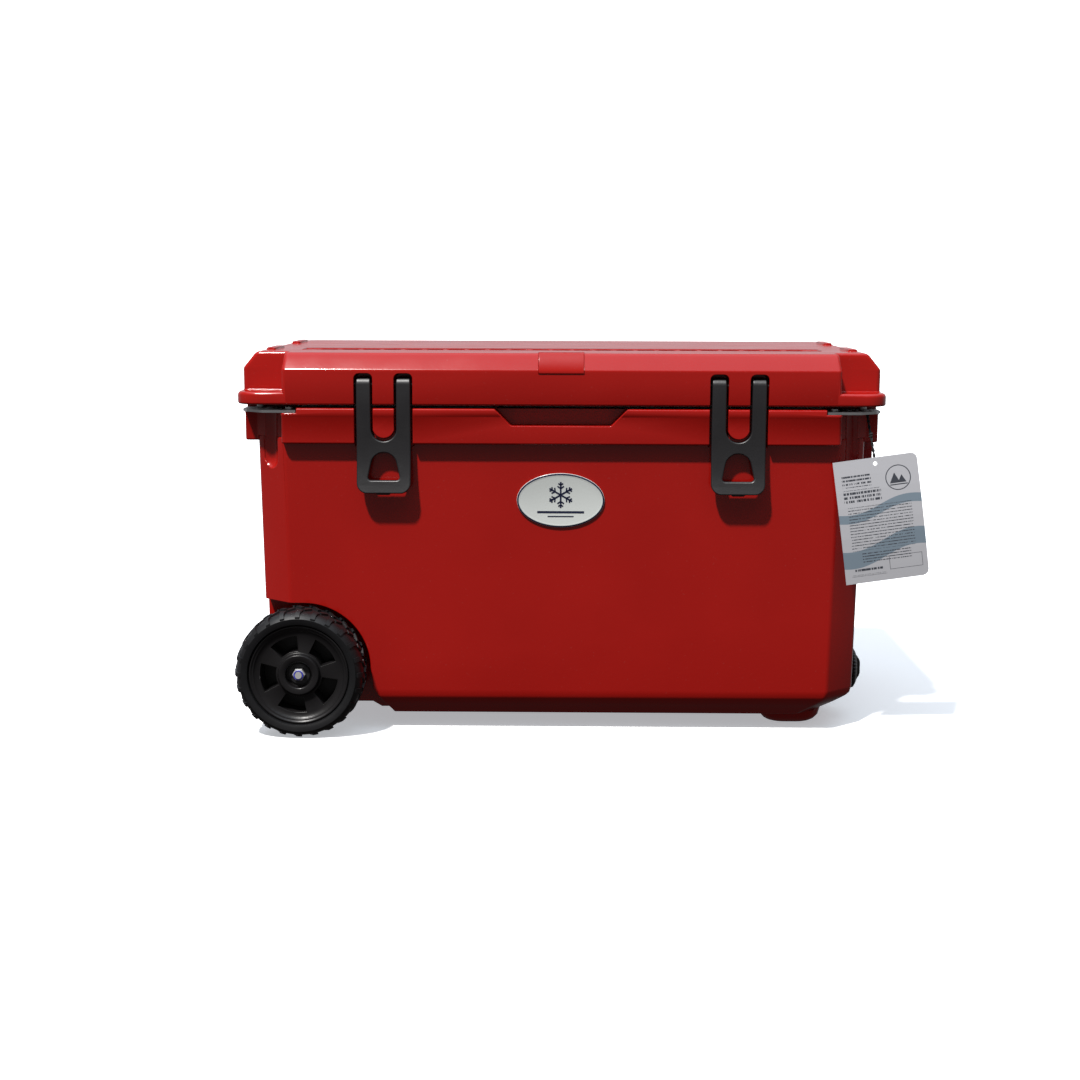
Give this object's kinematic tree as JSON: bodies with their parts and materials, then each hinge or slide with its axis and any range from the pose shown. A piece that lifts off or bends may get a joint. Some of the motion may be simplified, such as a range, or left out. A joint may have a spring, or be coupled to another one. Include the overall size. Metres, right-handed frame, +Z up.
{
  "type": "cooler on wheels",
  "caption": "Rotomoulded ice chest on two wheels, with a hinged lid, T-latches, steel corner plates, a screw drain plug and a swing pull handle.",
  "frame": {"origin": "on the ground, under the middle of the cooler's box without its hang tag", "axes": "+Z up, -Y out of the front where the latches are, +X towards the pull handle, so the wheels are at -X"},
  "size_m": [0.8003, 0.478, 0.4465],
  "materials": {
    "red_plastic": "glossy rotomoulded polyethylene, deep red",
    "latch_rubber": "matte black moulded rubber",
    "black_plastic": "black moulded plastic, fine texture",
    "rim_plastic": "black injection-moulded plastic, satin",
    "tyre": "black moulded tread, matte with a slight sheen",
    "steel": "brushed stainless steel",
    "grip_rubber": "soft black grip, ribbed",
    "foam": "rigid polyurethane foam, sealed inside",
    "seal": "pale extruded gasket rubber",
    "nylon": "natural nylon",
    "badge": "silver-white domed plate with a dark rim",
    "card": "coated card",
    "cord": "black twisted string"
  },
  "bodies": {
    "tub": {"tub_shell": "red_plastic", "tub_foam": "foam", "tub_fill_plug": "black_plastic", "badge": "badge", "axle": "steel", "drain_tube": "black_plastic", "drain_nut": "black_plastic", "tag_string": "cord", "hang_tag": "card", "corner_plate_left": "steel", "corner_plate_screw_left_1": "steel", "corner_plate_screw_left_2": "steel", "hinge_pin_left": "steel", "corner_plate_right": "steel", "corner_plate_screw_right_1": "steel", "corner_plate_screw_right_2": "steel", "hinge_pin_right": "steel", "axle_bracket_front": "steel", "wheel_spacer_front": "nylon", "handle_bush_front": "nylon", "axle_bracket_screw_front_1": "steel", "axle_bracket_screw_front_2": "steel", "washer_front": "steel", "nylock_nut_front": "steel", "axle_bracket_rear": "steel", "wheel_spacer_rear": "nylon", "handle_bush_rear": "nylon", "axle_bracket_screw_rear_1": "steel", "axle_bracket_screw_rear_2": "steel", "washer_rear": "steel", "nylock_nut_rear": "steel"},
    "lid": {"lid_shell": "red_plastic", "lid_foam": "foam", "lid_fill_plug": "black_plastic", "lid_gasket": "seal", "latch_pin_left": "steel", "latch_pin_right": "steel"},
    "latch_left": {"latch_left": "latch_rubber"},
    "latch_right": {"latch_right": "latch_rubber"},
    "wheel_front": {"tyre_front": "tyre", "rim_front": "rim_plastic", "wheel_bush_front": "nylon"},
    "wheel_rear": {"tyre_rear": "tyre", "rim_rear": "rim_plastic", "wheel_bush_rear": "nylon"},
    "pull_handle": {"handle_bail": "steel", "handle_grip": "grip_rubber"},
    "drain_seal": {"drain_seal": "seal"},
    "drain_cap": {"drain_cap": "black_plastic"}
  },
  "joints": [
    {"name": "lid_hinge", "type": "hinge", "parent": "tub", "child": "lid", "pos_m": [0, 0.226, 0.384], "axis": [-1, 0, 0], "range_deg": [0, 100]},
    {"name": "latch_left_swing", "type": "hinge", "parent": "lid", "child": "latch_left", "pos_m": [-0.2023, -0.206, 0.408], "axis": [-1, 0, 0], "range_deg": [0, 98]},
    {"name": "latch_right_swing", "type": "hinge", "parent": "lid", "child": "latch_right", "pos_m": [0.2023, -0.206, 0.408], "axis": [-1, 0, 0], "range_deg": [0, 98]},
    {"name": "wheel_front_spin", "type": "hinge", "parent": "tub", "child": "wheel_front", "pos_m": [-0.301, -0.211, 0.075], "axis": [0, 1, 0], "continuous": true},
    {"name": "wheel_rear_spin", "type": "hinge", "parent": "tub", "child": "wheel_rear", "pos_m": [-0.301, 0.211, 0.075], "axis": [0, 1, 0], "continuous": true},
    {"name": "handle_swing", "type": "hinge", "parent": "tub", "child": "pull_handle", "pos_m": [0.361, 0, 0.318], "axis": [0, -1, 0], "range_deg": [0, 95]},
    {"name": "drain_seal_slide", "type": "slide", "parent": "tub", "child": "drain_seal", "axis": [1, 0, 0], "range_m": [0, 0.0095]},
    {"name": "drain_cap_turn", "type": "hinge", "parent": "drain_seal", "child": "drain_cap", "pos_m": [0.355, -0.1, 0.058], "axis": [1, 0, 0], "range_deg": [0, 1080]}
  ],
  "couplings": [
    {"joint": "drain_seal_slide", "follows": "drain_cap_turn", "m_per_rad": 0.00047746}
  ]
}
